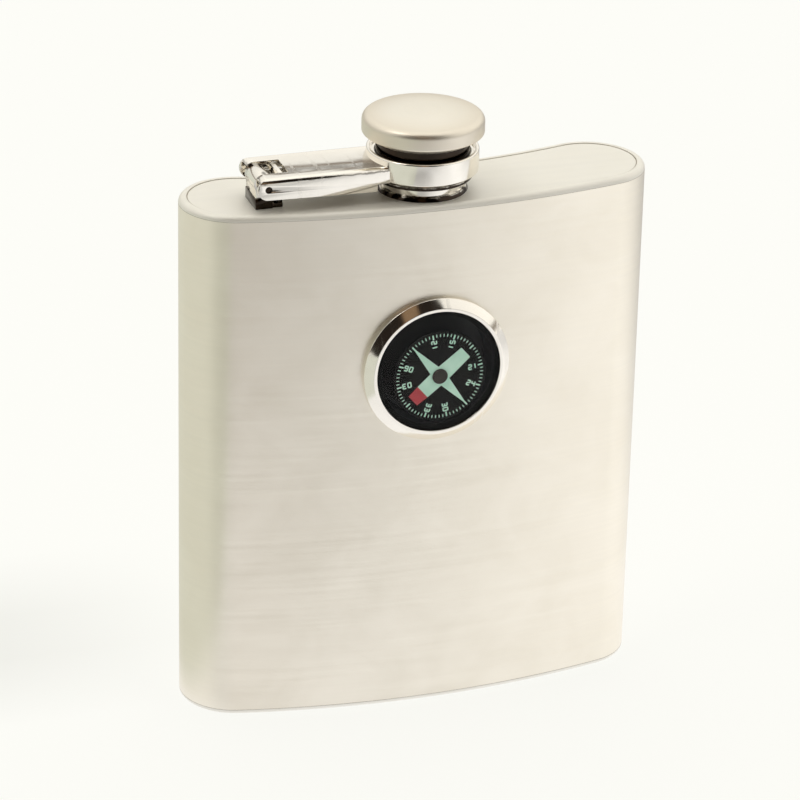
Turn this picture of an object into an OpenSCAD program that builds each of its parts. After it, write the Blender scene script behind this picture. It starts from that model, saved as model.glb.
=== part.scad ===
// A hip flask with a captive screw cap on a hinged arm, and a button compass set into its front.
// The base stands on Z = 0, the neck stands on the Z axis, and the convex front faces -Y.

/* [Body] */
// Width across the two rounded ends
body_w = 95; // [88:1:105]
// Height of the body, without its neck
body_h = 108; // [104:1:130]
// Thickness at the middle
body_t = 21.6; // [21:0.2:23]
// How far the back curves in at the middle
back_hollow = 4.6; // [4:0.1:5.6]
// Radius of the rounded ends
end_r = 11.1; // [10.8:0.1:11.6]
// Thickness of the body's sheet
wall = 0.6; // [0.5:0.05:0.7]
// Thickness of the top and bottom plates
plate_t = 0.8; // [0.7:0.05:1]
// Rounding of the welded top and bottom edges
edge_r = 1.2; // [1:0.1:1.4]

/* [Neck and thread] */
// Radius of the mouth
mouth_r = 6.2; // [5.6:0.1:6.4]
// Outer radius of the thread on the neck
thread_r = 8; // [8:0.05:8.05]
// Height of the neck above the body
neck_h = 7.6; // [7.4:0.1:7.6]
// Rise of the cap in one turn
thread_pitch = 1.8; // [1.7:0.05:1.8]

/* [Cap and arm] */
// Radius of the cap's head
cap_r = 11.96; // [11.4:0.02:12.4]
// Top of the cap above the body
cap_top = 15.75; // [15.25:0.05:16.4]
// Outer radius of the collar that carries the cap
collar_r = 11; // [10.95:0.05:11.3]
// Width of the arm
arm_w = 13.2; // [12.8:0.1:13.6]
// Distance from the neck's axis to the hinge pin
hinge_x = 33; // [32:0.2:34]
// Height of the hinge pin above the body
hinge_h = 4.9; // [4.8:0.05:5]
// Radius of the hinge pin
pin_r = 0.7; // [0.6:0.05:0.8]

/* [Compass] */
// Height of the compass axis above the base
compass_h = 73.9; // [60:0.1:80]
// Radius of the compass capsule
capsule_r = 12.55; // [12.4:0.05:12.6]
// Outer radius of the bezel where it meets the front
bezel_r = 15; // [14.6:0.1:15.4]
// Radius of the compass card
card_r = 9.5; // [9:0.1:9.6]
// Direction of the arm opposite the north marker, counterclockwise from the right
card_turn = 40.6; // [0:0.1:360]

/* [Hidden] */
$fn = 96;
large_fn = 720;  // for the wide arcs of the body
eps = 0.01;  // how far a cut reaches past the face that it opens

steel = "#d4d0c6";
polished = "#e2e0da";
black = "#17171a";

// Outline of the body: each arc is tangent to the next
end_x = body_w / 2 - end_r;
end_y = body_t / 2 - end_r + back_hollow;
front_r = (pow(end_x, 2) + pow(end_y + body_t / 2, 2) - pow(end_r, 2)) / (2 * (end_y + body_t / 2 - end_r));
back_r = (pow(end_x, 2) + pow(end_y - body_t / 2, 2) - pow(end_r, 2)) / (2 * (end_r + end_y - body_t / 2));
front_y = front_r - body_t / 2;
back_y = back_r + body_t / 2;
front_angle = atan(end_x / (front_y - end_y));
back_angle = atan(end_x / (back_y - end_y));
edge_steps = 6;      // steps that stand for the rounding of a welded edge
crease_depth = 0.12; // how far the flat of the top plate lies below its rim
crease_inset = 0.4;  // width of that rim inside the rounded edge

// Neck, with the thread standing on its root
thread_depth = 0.6;
thread_foot = 0.4;   // half the width of a thread ridge at its foot
thread_crest = 0.2;  // half the width at its crest
thread_sink = 0.06;  // how far a ridge reaches into the wall that carries it
neck_root_r = thread_r - thread_depth;
neck_shoulder_h = 2.2;
neck_ring_r = 9.0;
neck_ring_h = 0.8;
neck_top = body_h + neck_h;
neck_turns = 1.9;

// Cap: a sleeve hangs through the collar, and its lip stops it from coming out
thread_play = 0.25;  // between a crest and the wall that it faces
sleeve_in = thread_r + thread_play;
sleeve_out = sleeve_in + 0.95;
sleeve_bottom = body_h + 2.5;
cap_bottom = body_h + 10.2;
cap_skin = 0.7;
cap_crown = 0.62;    // rise of the low dome
cap_shoulder = 1.45;
cap_taper = 1.3;     // height of the taper under the head
cap_foot_r = cap_r - 2.3;
lip_r = sleeve_out + 0.7;
lip_h = 0.8;
liner_h = 1;
seal_gap = 0.03;     // the liner lies on the mouth when the cap is down
cap_turns = 1.6;

// Collar and arm
collar_bottom = body_h + 3.9;
collar_top = body_h + 8.4;
collar_wall = 0.7;
collar_rim = 0.25;   // bevel of the collar's upper edge
collar_hole = sleeve_out + 0.2;
keeper_z = body_h + 7;  // underside of the flange inside the collar, which stops the lip
keeper_t = 0.6;
arm_top = body_h + 7;
arm_t = 0.7;
arm_bend = 0.9;      // outer radius of the arm's folded edges
ear_r = arm_top - body_h - hinge_h;
flange_drop = 0.45;  // how much deeper the flanges are at the collar than at the ears
flange_bottom = body_h + hinge_h - ear_r - flange_drop;
flange_end = collar_r + 0.2;
notch_w = 6.8;
notch_end = hinge_x - 4.8;
pin_z = body_h + hinge_h;
pin_play = 0.05;
pin_recess = 0.2;

// Hinge bracket
knuckle_r = 1.95;
knuckle_w = 6.4;
bracket_w = 7;
bracket_left = hinge_x + 1.7;
bracket_right = hinge_x - 1.7;
bracket_h = 2.5;
tongue_in = 2.9;     // the tongue stands this far from the pin, on the collar's side
tongue_t = 0.9;
tongue_w = 5.8;

// Compass, measured along its own axis from the back of the cup towards the viewer
cup_wall = 0.6;
cup_in = capsule_r + 0.2;
cup_out = cup_in + cup_wall;
cup_back = -4.3;     // Y of the cup's outer floor
cup_rim = -11;
bezel_front = -13.1;
bezel_foot = 1;      // height of the bezel's upright wall at the middle of the front
pad_t = 0.7;
capsule_back = cup_back - cup_wall - pad_t;
capsule_floor = 1;
capsule_wall = 1.1;
capsule_front = -12.1;
lens_edge = -12.8;
lens_crown = 0.4;    // how far the lens bulges at its middle
seal_t = 0.12;
card_front = -11.7;
card_t = 0.3;
print_t = 0.06;
hub_r = 1.55;
hub_h = 0.28;
magnet_t = 0.9;
needle_r = 0.2;
needle_base_r = 0.45;
card_sag = [0.6, -1.5];  // an upright card hangs to one side of its needle
cup_bore = norm(card_sag) + needle_r + 0.03;
cup_h = 1.6;

// The body's outline from above, drawn this far inside the real one
module outline(inset) {
    reach = 3 * end_r;
    difference() {
        intersection() {
            translate([0, front_y]) circle(r = front_r - inset, $fn = large_fn);
            polygon([
                [end_x, end_y],
                [end_x + reach * sin(front_angle), end_y - reach * cos(front_angle)],
                [-end_x - reach * sin(front_angle), end_y - reach * cos(front_angle)],
                [-end_x, end_y],
                [-end_x + reach * sin(back_angle), end_y + reach * cos(back_angle)],
                [end_x - reach * sin(back_angle), end_y + reach * cos(back_angle)]
            ]);
        }
        translate([0, back_y]) circle(r = back_r + inset, $fn = large_fn);
    }
    for (side = [-1, 1]) translate([side * end_x, end_y]) circle(r = end_r - inset);
}

// Turns a shape about the compass axis, with its own +Z pointing out of the front
module on_compass_axis() {
    translate([0, 0, compass_h]) rotate([90, 0, 0]) children();
}

// The same, about the axis of the card as it hangs
module on_card_axis() {
    translate([card_sag[0], 0, card_sag[1]]) on_compass_axis() children();
}

// One helical ridge. Its foot is at radius foot_r and its crest at crest_r, on either side of a wall.
module ridge(foot_r, crest_r, turns, start_z) {
    steps = 28;
    count = round(turns * steps);
    // the ridge runs out to nothing over its first and last quarter turn
    function grown(i) = max(0.02, min(1, min(i, count - i) / (steps / 4)));
    function ring(i) = let (
            a = 360 * i / steps,
            z = start_z + thread_pitch * i / steps,
            top_r = foot_r + (crest_r - foot_r) * grown(i)
        ) [
            [foot_r * cos(a), foot_r * sin(a), z - thread_foot],
            [top_r * cos(a), top_r * sin(a), z - thread_crest],
            [top_r * cos(a), top_r * sin(a), z + thread_crest],
            [foot_r * cos(a), foot_r * sin(a), z + thread_foot]
        ];
    points = [for (i = [0:count]) each ring(i)];
    sides = [for (i = [0:count - 1], k = [0:3])
        [4 * i + k, 4 * i + (k + 1) % 4, 4 * (i + 1) + (k + 1) % 4, 4 * (i + 1) + k]];
    faces = concat(sides, [[3, 2, 1, 0]], [[for (k = [0:3]) 4 * count + k]]);
    polyhedron(points, crest_r > foot_r ? faces : [for (f = faces) [for (k = [len(f) - 1:-1:0]) f[k]]]);
}

// A plate whose rim turns up round the body's edge; the flat side is down at Z = 0
module end_plate() {
    step_h = edge_r / edge_steps;
    difference() {
        for (i = [0:edge_steps - 1]) {
            depth = edge_r - (i + 0.5) * step_h;
            translate([0, 0, i * step_h]) linear_extrude(step_h)
                outline(edge_r - sqrt(pow(edge_r, 2) - pow(depth, 2)));
        }
        translate([0, 0, plate_t]) linear_extrude(edge_r) outline(wall);
    }
}

module body_sleeve() {
    color(steel) difference() {
        translate([0, 0, edge_r]) linear_extrude(body_h - 2 * edge_r) difference() {
            outline(0);
            outline(wall);
        }
        on_compass_axis() cylinder(r = cup_out, h = body_t);
    }
}

module top_plate() {
    color(steel) difference() {
        translate([0, 0, body_h]) mirror([0, 0, 1]) end_plate();
        translate([0, 0, body_h - crease_depth]) linear_extrude(1) outline(edge_r + crease_inset);
        translate([0, 0, body_h - edge_r]) cylinder(r = neck_root_r, h = 2 * edge_r);
    }
}

module bottom_plate() {
    color(steel) end_plate();
}

module neck() {
    color(polished) rotate_extrude() polygon([
        [mouth_r, body_h - plate_t],
        [neck_root_r, body_h - plate_t],
        [neck_root_r, body_h - crease_depth],
        [thread_r, body_h - crease_depth],
        [thread_r, body_h + neck_shoulder_h],
        [neck_root_r, body_h + neck_shoulder_h + thread_depth],
        [neck_root_r, neck_top],
        [mouth_r, neck_top]
    ]);
}

module neck_ring() {
    color(polished) translate([0, 0, body_h - crease_depth]) difference() {
        cylinder(r1 = neck_ring_r, r2 = thread_r + 0.5, h = neck_ring_h);
        translate([0, 0, -eps]) cylinder(r = thread_r, h = neck_ring_h + 2 * eps);
    }
}

module neck_thread() {
    color(polished) ridge(neck_root_r - thread_sink, thread_r, neck_turns,
        neck_top - thread_foot - 0.2 - neck_turns * thread_pitch);
}

module hinge_bracket() {
    color(polished) translate([-hinge_x, 0, 0]) difference() {
        union() {
            translate([-(bracket_left - hinge_x), -bracket_w / 2, body_h - crease_depth])
                cube([bracket_left - bracket_right, bracket_w, bracket_h + crease_depth - 0.4]);
            translate([-knuckle_r + 0.3, -knuckle_w / 2, body_h])
                cube([2 * knuckle_r - 0.6, knuckle_w, hinge_h]);
            translate([0, 0, pin_z]) rotate([90, 0, 0])
                cylinder(r = knuckle_r, h = knuckle_w, center = true);
            // a tongue on the foot, that the closed arm comes to rest over
            translate([0, -knuckle_w / 2, body_h - crease_depth])
                cube([tongue_in + tongue_t, knuckle_w, 0.8]);
            translate([tongue_in, -tongue_w / 2, body_h])
                cube([tongue_t, tongue_w, arm_top - body_h - 0.25]);
        }
        translate([0, 0, pin_z]) rotate([90, 0, 0])
            cylinder(r = pin_r + pin_play, h = arm_w, center = true);
    }
}

module compass_cup() {
    color(steel) on_compass_axis() rotate_extrude() polygon([
        [0, -cup_back],
        [cup_out, -cup_back],
        [cup_out, -cup_rim],
        [cup_in, -cup_rim],
        [cup_in, -cup_back + cup_wall],
        [0, -cup_back + cup_wall]
    ]);
}

module compass_bezel() {
    color(polished) difference() {
        on_compass_axis() rotate_extrude() polygon([
            [capsule_r + 0.1, -cup_rim],
            [cup_out, -cup_rim],
            [cup_out, body_t / 2 - 1],
            [bezel_r, body_t / 2 - 1],
            [bezel_r, body_t / 2 + bezel_foot],
            [capsule_r + 0.75, -bezel_front],
            [capsule_r + 0.1, -bezel_front]
        ]);
        translate([0, front_y, 0]) cylinder(r = front_r, h = body_h, $fn = large_fn);
    }
}

module capsule_pad() {
    color("#8f8a80") on_compass_axis() translate([0, 0, -capsule_back - pad_t])
        cylinder(r = capsule_r - 1, h = pad_t);
}

module compass_capsule() {
    color(black) on_compass_axis() translate([0, 0, -capsule_back]) difference() {
        cylinder(r = capsule_r, h = capsule_back - capsule_front);
        translate([0, 0, capsule_floor]) cylinder(r = capsule_r - capsule_wall, h = body_t);
    }
}

module capsule_seal() {
    color(black) on_compass_axis() translate([0, 0, -capsule_front]) difference() {
        cylinder(r = capsule_r, h = seal_t);
        translate([0, 0, -eps]) cylinder(r = capsule_r - capsule_wall, h = seal_t + 2 * eps);
    }
}

module compass_lens() {
    back = seal_t - capsule_front;
    // the crown falls away as the square of the distance from the axis
    color("#dfe8ea", 0.3) on_compass_axis() rotate_extrude() polygon(concat(
        [[0, back], [capsule_r, back]],
        [for (i = [6:-1:0]) [capsule_r * i / 6, lens_crown * (1 - pow(i / 6, 2)) - lens_edge]]
    ));
}

module pivot_pin() {
    base_top = -card_front - card_t - cup_h - 0.3;
    color("#c9b27a") on_compass_axis() {
        translate([0, 0, -capsule_back + capsule_floor])
            cylinder(r = needle_base_r, h = base_top + capsule_back - capsule_floor);
        translate([0, 0, base_top]) cylinder(r = needle_r, h = cup_h + 0.25);
    }
}

module card_disc() {
    color(black) on_card_axis() translate([0, 0, -card_front - card_t]) cylinder(r = card_r, h = card_t);
}

// One arm of the star, pointing along +X: half widths at the hub and at the tip
module star_arm(foot, tip, length) {
    polygon([[0, -foot], [length, -tip], [length, tip], [0, foot]]);
}

module card_star() {
    color("#9fe0bd") on_card_axis() translate([0, 0, -card_front]) linear_extrude(print_t)
        rotate([0, 0, card_turn]) difference() {
            union() {
                star_arm(1.8, 1.42, 6.9);
                rotate([0, 0, 180]) star_arm(1.8, 1.6, 4.6);
                for (side = [90, 270]) rotate([0, 0, side]) star_arm(1.35, 0.12, 8.1);
            }
            circle(r = hub_r);
        }
}

module card_north_tip() {
    color("#a8323c") on_card_axis() translate([0, 0, -card_front]) linear_extrude(print_t)
        rotate([0, 0, card_turn + 180]) translate([4.6, 0]) star_arm(1.6, 1.36, 2.6);
}

module card_hub() {
    color("#34312c") on_card_axis() translate([0, 0, -card_front]) cylinder(r = hub_r, h = hub_h);
}

module card_cup() {
    color("#c9b27a") on_card_axis() translate([0, 0, -card_front - card_t - cup_h]) difference() {
        cylinder(r = cup_bore + 0.5, h = cup_h);
        translate([0, 0, -eps]) cylinder(r = cup_bore, h = cup_h + 2 * eps);
    }
}

module card_magnet() {
    color("#4a4a4e") on_card_axis() rotate([0, 0, card_turn])
        translate([0, 0, -card_front - card_t - magnet_t]) difference() {
            intersection() {
                cylinder(r = card_r - 1.5, h = magnet_t);
                translate([-card_r, -3.4, 0]) cube([2 * card_r, 6.8, magnet_t]);
            }
            translate([0, 0, -eps]) cylinder(r = cup_bore + 0.5, h = magnet_t + 2 * eps);
        }
}

// Across the arm, from the side: a web with two folded flanges, round on its outer edges
module arm_section() {
    depth = arm_top - flange_bottom;
    difference() {
        union() {
            for (side = [-1, 1]) translate([side * (arm_w / 2 - arm_bend), depth - arm_bend])
                circle(r = arm_bend);
            translate([-arm_w / 2 + arm_bend, 0]) square([arm_w - 2 * arm_bend, depth]);
            translate([-arm_w / 2, 0]) square([arm_w, depth - arm_bend]);
        }
        translate([-arm_w / 2 + arm_t, -1]) square([arm_w - 2 * arm_t, depth - arm_t + 1]);
    }
}

// Along the arm, from the front: round ears at the pin, then flanges that come down to the body
module arm_side() {
    polygon(concat(
        [for (a = [90:7.5:270]) [ear_r * cos(a) - hinge_x, ear_r * sin(a) + pin_z]],
        [[-flange_end, flange_bottom], [0, flange_bottom], [0, arm_top]]
    ));
}

module arm() {
    color(polished) difference() {
        intersection() {
            translate([-hinge_x - ear_r, 0, flange_bottom]) rotate([90, 0, 90])
                linear_extrude(hinge_x + ear_r) arm_section();
            translate([0, arm_w / 2 + 1, 0]) rotate([90, 0, 0]) linear_extrude(arm_w + 2) arm_side();
        }
        translate([-hinge_x - 2 * ear_r, -notch_w / 2, body_h])
            cube([hinge_x + 2 * ear_r - notch_end, notch_w, 2 * ear_r + hinge_h]);
        translate([-hinge_x, 0, pin_z]) rotate([90, 0, 0]) cylinder(r = pin_r, h = 2 * arm_w, center = true);
        translate([0, 0, body_h]) cylinder(r = collar_r, h = 2 * hinge_h);
        // below the collar the flanges stop short of it
        translate([-flange_end, -arm_w, body_h]) cube([flange_end, 2 * arm_w, collar_bottom - body_h]);
    }
}

module collar() {
    color(polished) rotate_extrude() polygon([
        [collar_r, collar_bottom],
        [collar_r, collar_top - collar_rim],
        [collar_r - collar_rim, collar_top],
        [collar_r - collar_wall, collar_top],
        [collar_r - collar_wall, keeper_z + keeper_t],
        [collar_hole, keeper_z + keeper_t],
        [collar_hole, keeper_z],
        [collar_r - collar_wall, keeper_z],
        [collar_r - collar_wall, collar_bottom]
    ]);
}

module hinge_pin() {
    color(polished) translate([-hinge_x, 0, pin_z]) rotate([90, 0, 0])
        cylinder(r = pin_r, h = arm_w - 2 * pin_recess, center = true);
}

// Half of the cap's head, as a radius and a height: a low dome, a round shoulder, a straight side
// and a bevel underneath, drawn this far inside the real one
function cap_outline(inset) = let (
        top = body_h + cap_top - inset,
        shoulder_r = cap_shoulder - inset,
        shoulder_x = cap_r - cap_shoulder,
        shoulder_z = body_h + cap_top - cap_crown - cap_shoulder
    ) concat(
        [[0, top]],
        [for (r = [2:2:10]) [r, top - cap_crown * pow(r / shoulder_x, 3)]],
        [for (a = [75:-15:0]) [shoulder_x + shoulder_r * cos(a), shoulder_z + shoulder_r * sin(a)]],
        [[cap_r - inset, cap_bottom + cap_taper], [cap_foot_r - inset, cap_bottom + inset]]
    );

module cap_head() {
    color(steel) rotate_extrude() difference() {
        polygon(concat(cap_outline(0), [[0, cap_bottom]]));
        polygon(concat(cap_outline(cap_skin), [[0, cap_bottom + cap_skin]]));
        translate([-1, cap_bottom - 1]) square([sleeve_out + 1, cap_skin + 2]);
    }
}

module cap_sleeve() {
    color(polished) rotate_extrude() polygon([
        [0, neck_top + seal_gap + liner_h],
        [sleeve_in, neck_top + seal_gap + liner_h],
        [sleeve_in, sleeve_bottom],
        [sleeve_out, sleeve_bottom],
        [sleeve_out, cap_bottom + cap_skin + 0.8],
        [0, cap_bottom + cap_skin + 0.8]
    ]);
}

module cap_thread() {
    // half a pitch above a neck ridge, so that the two run side by side
    color(polished) ridge(sleeve_in + thread_sink, sleeve_in - thread_depth, cap_turns,
        neck_top - thread_foot - 0.2 - thread_pitch * (neck_turns - 0.5));
}

module cap_lip_ring() {
    color(polished) translate([0, 0, sleeve_bottom]) difference() {
        cylinder(r = lip_r, h = lip_h);
        translate([0, 0, -eps]) cylinder(r = sleeve_out, h = lip_h + 2 * eps);
    }
}

module cap_liner() {
    color("#f0efe8") translate([0, 0, neck_top + seal_gap]) cylinder(r = sleeve_in - 0.15, h = liner_h);
}

body_sleeve();
top_plate();
bottom_plate();
neck();
neck_ring();
neck_thread();
hinge_bracket();
compass_cup();
compass_bezel();
capsule_pad();
compass_capsule();
capsule_seal();
compass_lens();
pivot_pin();
card_disc();
card_star();
card_north_tip();
card_hub();
card_cup();
card_magnet();
arm();
collar();
hinge_pin();
cap_head();
cap_sleeve();
cap_thread();
cap_lip_ring();
cap_liner();
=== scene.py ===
# %% [markdown]
# # A curved hip flask with a compass
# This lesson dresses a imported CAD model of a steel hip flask. The CAD model holds the sizes, the joints
# and the places of every part, and stays as it is. Here each surface that the eye meets is made again as
# a smooth mesh in the same place, and gets a finish: brushed sheet, satin plate, polished fittings,
# black plastic, paint and a clear lens.

# %% Load the frame
import math

import bpy
import numpy as np
from mathutils import Matrix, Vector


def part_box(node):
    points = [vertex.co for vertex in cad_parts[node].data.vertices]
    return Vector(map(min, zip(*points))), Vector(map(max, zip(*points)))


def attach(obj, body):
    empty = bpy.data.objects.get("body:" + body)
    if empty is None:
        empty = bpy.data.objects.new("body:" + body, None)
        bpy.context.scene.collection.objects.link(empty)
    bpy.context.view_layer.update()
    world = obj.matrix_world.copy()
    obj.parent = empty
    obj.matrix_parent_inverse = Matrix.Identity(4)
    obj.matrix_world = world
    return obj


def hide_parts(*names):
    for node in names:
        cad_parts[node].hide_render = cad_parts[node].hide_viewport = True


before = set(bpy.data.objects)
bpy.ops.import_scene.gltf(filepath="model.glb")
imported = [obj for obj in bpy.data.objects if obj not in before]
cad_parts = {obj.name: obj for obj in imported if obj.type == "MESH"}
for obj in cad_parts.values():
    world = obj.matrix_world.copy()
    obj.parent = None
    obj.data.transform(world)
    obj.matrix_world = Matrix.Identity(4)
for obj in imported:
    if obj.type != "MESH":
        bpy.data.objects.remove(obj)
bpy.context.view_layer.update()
MM = 0.001

# %% [markdown]
# ## Sizes
# Almost every size is read off the CAD nodes' boxes, so the meshes can't drift away from the model.
# A few belong to shapes that a box can't tell, such as the radius of the body's round ends.

# %% Sizes of the body
def low(node):
    """Lowest corner of a CAD node, in millimetres."""
    return np.array(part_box(node)[0]) / MM


def high(node):
    """Highest corner of a CAD node, in millimetres."""
    return np.array(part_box(node)[1]) / MM


def middle(node):
    """Middle of a CAD node's box, in millimetres."""
    return (low(node) + high(node)) / 2


BODY_W = high("body_sleeve")[0] - low("body_sleeve")[0]
FRONT_Y = low("body_sleeve")[1]
BODY_T = -2 * FRONT_Y
BODY_H = high("top_plate")[2]
EDGE_R = low("body_sleeve")[2]
HOLLOW = high("body_sleeve")[1] + FRONT_Y
END_R = 11.1
WALL = 0.6
PLATE_T = 0.8
print(f"body {BODY_W:.1f} x {BODY_T:.1f} x {BODY_H:.1f} mm, back hollow {HOLLOW:.1f} mm")

# %% [markdown]
# ## From arrays to meshes
# Every new piece is a grid of points worked out by numpy. One helper turns a grid into a mesh: it joins
# the grid's ends where the shape closes on itself, and turns the faces outwards by the sign of the
# volume that they enclose.

# %% Grid to mesh
def placed(name, data):
    """A new object in the scene that shows this mesh or camera."""
    thing = bpy.data.objects.new(name, data)
    bpy.context.scene.collection.objects.link(thing)
    return thing


def make_mesh(
    name, points, faces, body, stands_for=(), sharp=40, uv=None, turn=0.0, seam_shade=None,
):
    """A smooth mesh object from points in millimetres and a list of face corner indices.

    A quad that closes a turn takes its last corners' length from the next turn, so the UV map has no
    face that runs back over its whole width.

    The enclosed volume is the sum over triangles of a . (b x c) / 6, and a negative sum means that
    the faces point inwards, so they are turned round.
    """
    points = np.asarray(points, dtype=float) * MM
    triangles = np.array([(f[0], f[i], f[i + 1]) for f in faces for i in range(1, len(f) - 1)])
    a, b, c = (points[triangles[:, k]] for k in range(3))
    if np.sum(a * np.cross(b, c)) < 0:
        faces = [tuple(reversed(f)) for f in faces]
    mesh = bpy.data.meshes.new(name)
    mesh.from_pydata(points.tolist(), [], faces)
    mesh.polygons.foreach_set("use_smooth", np.ones(len(mesh.polygons), dtype=bool))
    mesh.set_sharp_from_angle(angle=math.radians(sharp))
    if uv is not None:
        corners = np.empty(len(mesh.loops), dtype=np.int32)
        mesh.loops.foreach_get("vertex_index", corners)
        quads = uv[corners].reshape(-1, 4, 2)
        closing = np.ptp(quads[..., 0], axis=1) > turn / 2
        quads[closing, :, 0] += np.where(quads[closing, :, 0] < turn / 2, turn, 0.0)
        layer = mesh.uv_layers.new(name="along")
        layer.data.foreach_set("uv", (quads * MM).astype(np.float32).ravel())
    # a mask per point, which the plates use for painted shade in their crease and weld line
    if seam_shade is not None:
        mesh.attributes.new("seam_shade", "FLOAT", "POINT").data.foreach_set("value", seam_shade.astype(np.float32))
    mesh.validate()
    piece = placed(name, mesh)
    if stands_for:
        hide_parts(*stands_for)
    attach(piece, body)
    print(f"{name}: {len(points)} points, {len(mesh.polygons)} faces on {body}")
    return piece


def grid_faces(rows, columns, close_rows, close_columns):
    """Corner indices of the quads between the rows and columns of a grid stored row by row."""
    r = np.arange(rows if close_rows else rows - 1)
    c = np.arange(columns if close_columns else columns - 1)
    r, c = (g.ravel() for g in np.meshgrid(r, c, indexing="ij"))
    r_next, c_next = (r + 1) % rows, (c + 1) % columns
    quads = np.stack([r * columns + c, r * columns + c_next, r_next * columns + c_next, r_next * columns + c])
    return [tuple(q) for q in quads.T.tolist()]


# %% [markdown]
# ## Rounded profiles
# Real metal has no knife edges, and the small radius along each one is what catches the light. A profile
# is first given by its corners, then every corner is replaced by an arc that is tangent to both sides.

# %% Rounded corners
def rounded(corners, radii, closed=False, steps=6):
    """The corners as an (n, 2) array, each replaced by an arc of its own radius.

    The arc starts at distance r / tan(half the angle) before the corner and ends as far after it. Its
    centre lies on the corner's bisector, at r / sin(half the angle) from the corner.
    """
    corners = np.asarray(corners, dtype=float)
    count = len(corners)
    out = []
    for i, radius in enumerate(radii):
        here = corners[i]
        if radius == 0 or (not closed and i in (0, count - 1)):
            out.append(here[None])
            continue
        to_last = corners[i - 1] - here
        to_next = corners[(i + 1) % count] - here
        to_last /= np.linalg.norm(to_last)
        to_next /= np.linalg.norm(to_next)
        half = math.acos(np.clip(to_last @ to_next, -1, 1)) / 2
        bisector = (to_last + to_next) / np.linalg.norm(to_last + to_next)
        centre = here + bisector * radius / math.sin(half)
        start = here + to_last * radius / math.tan(half) - centre
        end = here + to_next * radius / math.tan(half) - centre
        sweep = math.pi - 2 * half
        t = np.linspace(0, 1, steps)[:, None]
        out.append(centre + (np.sin((1 - t) * sweep) * start + np.sin(t * sweep) * end) / math.sin(sweep))
    return np.vstack(out)


# %% [markdown]
# ## Turned parts
# The cap, the collar, the neck and the compass are all turned or spun about an axis. A lathe helper
# carries a profile of radius and height round that axis. A profile that starts or ends on the axis gets
# a single point there, so that there is no hole at the pole.

# %% Lathe
def about_neck(x, y, h):
    """The neck's axis is the Z axis of the model."""
    return np.stack([x, y, h], axis=-1)


def about_compass(x, y, h):
    """The compass axis points out of the front, so height along it is -Y."""
    return np.stack([x, -h, y + COMPASS_Z], axis=-1)


COMPASS_Z = middle("compass_bezel")[2]


def lathe(name, profile, place, body, stands_for=(), turns=192, sharp=40):
    """Carries a profile of (radius, height) rows round an axis: x = r cos(a), y = r sin(a), h = h."""
    profile = np.asarray(profile, dtype=float)
    angle = np.linspace(0, 2 * np.pi, turns, endpoint=False)
    poles = [i for i in (0, len(profile) - 1) if profile[i, 0] < 1e-6]
    body_rows = profile[[i for i in range(len(profile)) if i not in poles]]
    radius, height = body_rows[:, :1], body_rows[:, 1:]
    grid = place(radius * np.cos(angle), radius * np.sin(angle), height + 0 * angle).reshape(-1, 3)
    faces = grid_faces(len(body_rows), turns, not poles, True)
    points = [grid]
    for pole in poles:
        tip = sum(len(p) for p in points)
        row = 0 if pole == 0 else (len(body_rows) - 1) * turns
        ring = [(row + i, row + (i + 1) % turns) for i in range(turns)]
        faces += [(tip, b, a) if pole == 0 else (tip, a, b) for a, b in ring]
        zero = np.zeros(1)
        points.append(place(zero, zero, zero + profile[pole, 1]))
    return make_mesh(name, np.vstack(points), faces, body, stands_for, sharp)


# %% [markdown]
# ## The body's outline
# Seen from above the flask is a bent sausage: a wide convex arc in front, a wide hollow arc behind, and a
# round end on each side. Each arc is tangent to the next, so a point moves round it smoothly.

# %% Outline of the body
END_X = BODY_W / 2 - END_R
END_Y = BODY_T / 2 - END_R + HOLLOW
FRONT_R = (END_X**2 + (END_Y + BODY_T / 2) ** 2 - END_R**2) / (2 * (END_Y + BODY_T / 2 - END_R))
BACK_R = (END_X**2 + (END_Y - BODY_T / 2) ** 2 - END_R**2) / (2 * (END_R + END_Y - BODY_T / 2))
FRONT_ANGLE = math.atan2(END_X, FRONT_R - BODY_T / 2 - END_Y)
BACK_ANGLE = math.atan2(END_X, BACK_R + BODY_T / 2 - END_Y)


ACROSS, ROUND_END = 96, 64
AROUND = 2 * (ACROSS + ROUND_END)


def outline(inset):
    """Points of the outline, counterclockwise from the right of the back, and the length along it.

    Each stretch is centre + (radius -+ inset) * (cos a, sin a): the front and the ends shrink with the
    inset, and the hollow back, whose centre lies outside, grows.
    """
    down, up = -np.pi / 2, np.pi / 2
    stretches = [
        ((0, FRONT_R - BODY_T / 2), FRONT_R - inset, down - FRONT_ANGLE, down + FRONT_ANGLE, ACROSS),
        ((END_X, END_Y), END_R - inset, down + FRONT_ANGLE, up + BACK_ANGLE, ROUND_END),
        ((0, BACK_R + BODY_T / 2), BACK_R + inset, down + BACK_ANGLE, down - BACK_ANGLE, ACROSS),
        ((-END_X, END_Y), END_R - inset, up - BACK_ANGLE, up + np.pi - FRONT_ANGLE, ROUND_END),
    ]
    out = []
    for centre, radius, start, end, count in stretches:
        a = np.linspace(start, end, count, endpoint=False)
        out.append(np.array(centre) + radius * np.stack([np.cos(a), np.sin(a)], axis=-1))
    out = np.roll(np.vstack(out), -(ACROSS + ROUND_END), axis=0)
    steps = np.linalg.norm(np.diff(out, axis=0, append=out[:1]), axis=1)
    return out, np.concatenate([[0], np.cumsum(steps)])


print(f"front radius {FRONT_R:.1f} mm, back radius {BACK_R:.1f} mm")

# %% [markdown]
# ## The sleeve
# The body's sheet is wrapped once round that outline. It is a thin closed shell, with an outer and an
# inner face, and a round hole in the front that the compass is let into. The hole is cut with a cylinder,
# and the bezel covers its edge.

# %% Body sleeve
def level(points, height):
    """Points of an outline with their height."""
    return np.column_stack([points, np.full(AROUND, height)])


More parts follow.
